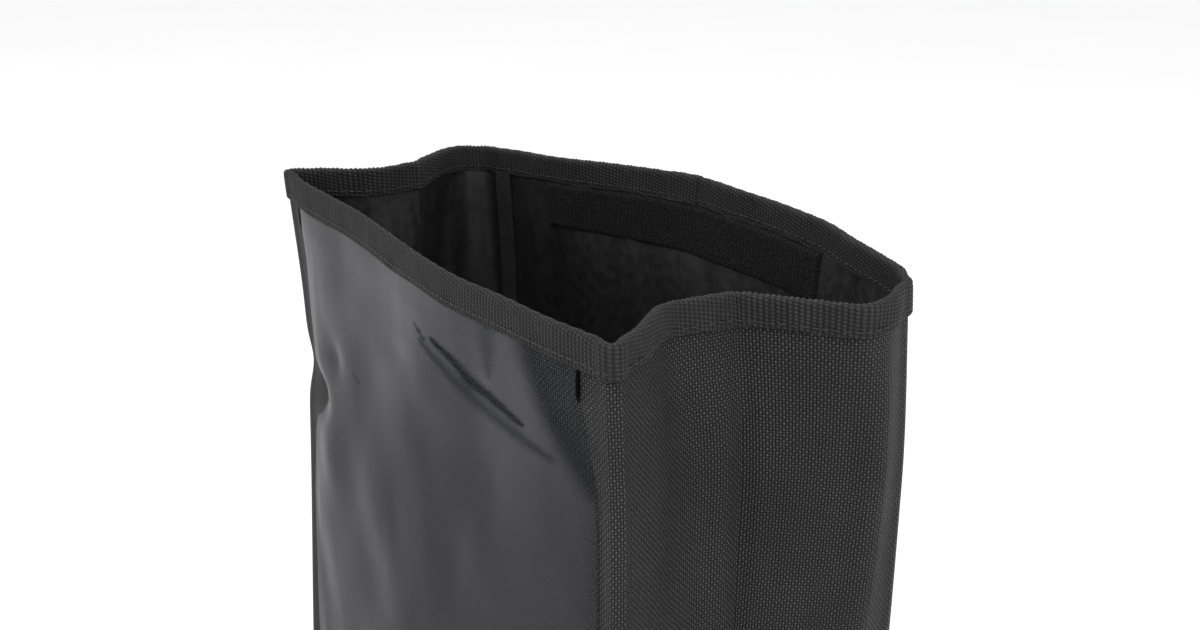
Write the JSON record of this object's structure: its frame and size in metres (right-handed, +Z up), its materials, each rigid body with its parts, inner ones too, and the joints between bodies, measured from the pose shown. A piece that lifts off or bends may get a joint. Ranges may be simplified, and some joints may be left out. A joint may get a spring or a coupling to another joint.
{
  "type": "lipo safe bag",
  "caption": "Open-top gusseted bag of woven fabric for model batteries, with bound rim, clear front pocket and hook-and-loop closure; folds flat on its creased gussets.",
  "frame": {"origin": "underside of the base, midway between the four upright corner hinges", "axes": "+Z up out of the open top, -Y out of the front with the film pocket, +X to the right seen from the front"},
  "size_m": [0.26, 0.1414, 0.3],
  "materials": {
    "woven_fabric": "coarse plain weave, matt with a slight coating sheen",
    "smooth_lining": "fine smooth weave, satin",
    "rim_tape": "ribbed tape, matt",
    "seam_tape": "plain tape, matt",
    "loop_pile": "brushed loops, matt",
    "hook_pile": "rows of small hooks",
    "clear_film": "clear, glossy, slightly rippled"
  },
  "bodies": {
    "back_and_base": {"base_panel": "woven_fabric", "base_lining": "smooth_lining", "back_panel": "woven_fabric", "back_lining": "smooth_lining", "back_rim_binding": "rim_tape", "back_left_seam_tape": "seam_tape", "back_right_seam_tape": "seam_tape", "back_base_seam_tape": "seam_tape", "loop_strip": "loop_pile", "rim_binding_join": "rim_tape"},
    "right_gusset_rear": {"right_gusset_rear_panel": "woven_fabric", "right_gusset_rear_lining": "smooth_lining", "right_gusset_rear_rim_binding": "rim_tape"},
    "right_gusset_front": {"right_gusset_front_panel": "woven_fabric", "right_gusset_front_lining": "smooth_lining", "right_gusset_front_rim_binding": "rim_tape"},
    "left_gusset_rear": {"left_gusset_rear_panel": "woven_fabric", "left_gusset_rear_lining": "smooth_lining", "left_gusset_rear_rim_binding": "rim_tape"},
    "left_gusset_front": {"left_gusset_front_panel": "woven_fabric", "left_gusset_front_lining": "smooth_lining", "left_gusset_front_rim_binding": "rim_tape"},
    "front_wall": {"front_panel": "woven_fabric", "front_lining": "smooth_lining", "front_rim_binding": "rim_tape", "front_left_seam_tape": "seam_tape", "front_right_seam_tape": "seam_tape", "front_base_seam_tape": "seam_tape", "hook_strip": "hook_pile", "front_film": "clear_film"}
  },
  "joints": [
    {"name": "fold_flat", "type": "hinge", "parent": "back_and_base", "child": "right_gusset_rear", "pos_m": [0.1264, 0.05615, 0], "axis": [0, 0, -1], "range_deg": [0, 50]},
    {"name": "right_crease", "type": "hinge", "parent": "right_gusset_rear", "child": "right_gusset_front", "pos_m": [0.10485, 0, 0], "axis": [0, 0, 1], "range_deg": [0, 100]},
    {"name": "front_right_corner", "type": "hinge", "parent": "right_gusset_front", "child": "front_wall", "pos_m": [0.1264, -0.05615, 0], "axis": [0, 0, -1], "range_deg": [0, 50]},
    {"name": "back_left_corner", "type": "hinge", "parent": "back_and_base", "child": "left_gusset_rear", "pos_m": [-0.1264, 0.05615, 0], "axis": [0, 0, 1], "range_deg": [0, 50]},
    {"name": "front_left_corner", "type": "hinge", "parent": "front_wall", "child": "left_gusset_front", "pos_m": [-0.1264, -0.05615, 0], "axis": [0, 0, -1], "range_deg": [0, 50]}
  ],
  "couplings": [
    {"joint": "right_crease", "follows": "fold_flat", "ratio": 2},
    {"joint": "front_right_corner", "follows": "fold_flat", "ratio": 1},
    {"joint": "back_left_corner", "follows": "fold_flat", "ratio": 1},
    {"joint": "front_left_corner", "follows": "fold_flat", "ratio": 1}
  ]
}
